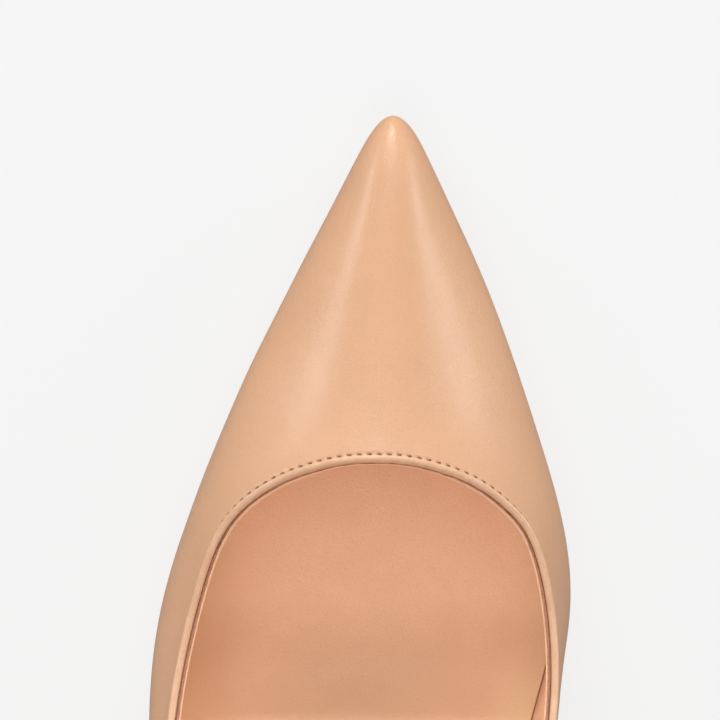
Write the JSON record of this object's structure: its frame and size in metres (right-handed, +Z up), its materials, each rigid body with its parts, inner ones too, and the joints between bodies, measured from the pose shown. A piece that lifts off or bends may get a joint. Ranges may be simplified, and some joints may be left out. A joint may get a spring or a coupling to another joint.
{
  "type": "high heel pump",
  "caption": "Women's pointed-toe court shoe for the left foot, in smooth tan leather with a stitched topline, leather lining and sock, and a slim covered stiletto heel.",
  "frame": {"origin": "on the ground, under the middle of the shoe's bounding box", "axes": "+Y towards the toe, +X towards the inner side of the foot, +Z up"},
  "size_m": [0.0797, 0.225, 0.143],
  "materials": {
    "upper_leather": "smooth semi-matte calf leather, light tan",
    "heel_leather": "smooth semi-matte calf leather wrapped round the heel",
    "lining_leather": "matte pigskin-type lining leather, tan",
    "sock_leather": "matte sock leather, tan",
    "suede": "fine suede, tan",
    "thread": "bonded polyester thread, tan",
    "tape": "woven nylon tape",
    "stiffener": "resin-impregnated nonwoven",
    "backing": "fusible woven cotton",
    "fibreboard": "cellulose insole board",
    "foam": "open-cell latex foam",
    "cork_filler": "cork and latex bottom filler",
    "sole_leather": "vegetable-tanned sole leather, waxed",
    "heel_plastic": "moulded heel polymer",
    "steel": "sprung and plain steel",
    "top_piece": "hard polyurethane, tan"
  },
  "bodies": {
    "shoe": {"vamp": "upper_leather", "quarter_outer": "upper_leather", "quarter_inner": "upper_leather", "vamp_lining": "lining_leather", "quarter_lining": "lining_leather", "topline_tape": "tape", "topline_stitching": "thread", "heel_grip": "suede", "toe_puff": "stiffener", "vamp_backing": "backing", "side_backing_outer": "backing", "side_backing_inner": "backing", "heel_counter": "stiffener", "insole_board": "fibreboard", "forefoot_board": "fibreboard", "shank_board": "fibreboard", "shank": "steel", "shank_rivets": "steel", "heel_screw": "steel", "heel_nails": "steel", "bottom_filler": "cork_filler", "seat_filler": "cork_filler", "forefoot_pad": "foam", "heel_pad": "foam", "sock_lining": "sock_leather", "outsole": "sole_leather", "heel_block": "heel_plastic", "heel_cover": "heel_leather", "heel_dowel": "steel"},
    "heel_tip": {"heel_top_piece": "top_piece", "top_piece_pin": "steel"}
  },
  "joints": [
    {"name": "top_piece_pull", "type": "slide", "parent": "shoe", "child": "heel_tip", "axis": [0, 0, -1], "range_m": [0, 0.014]}
  ]
}
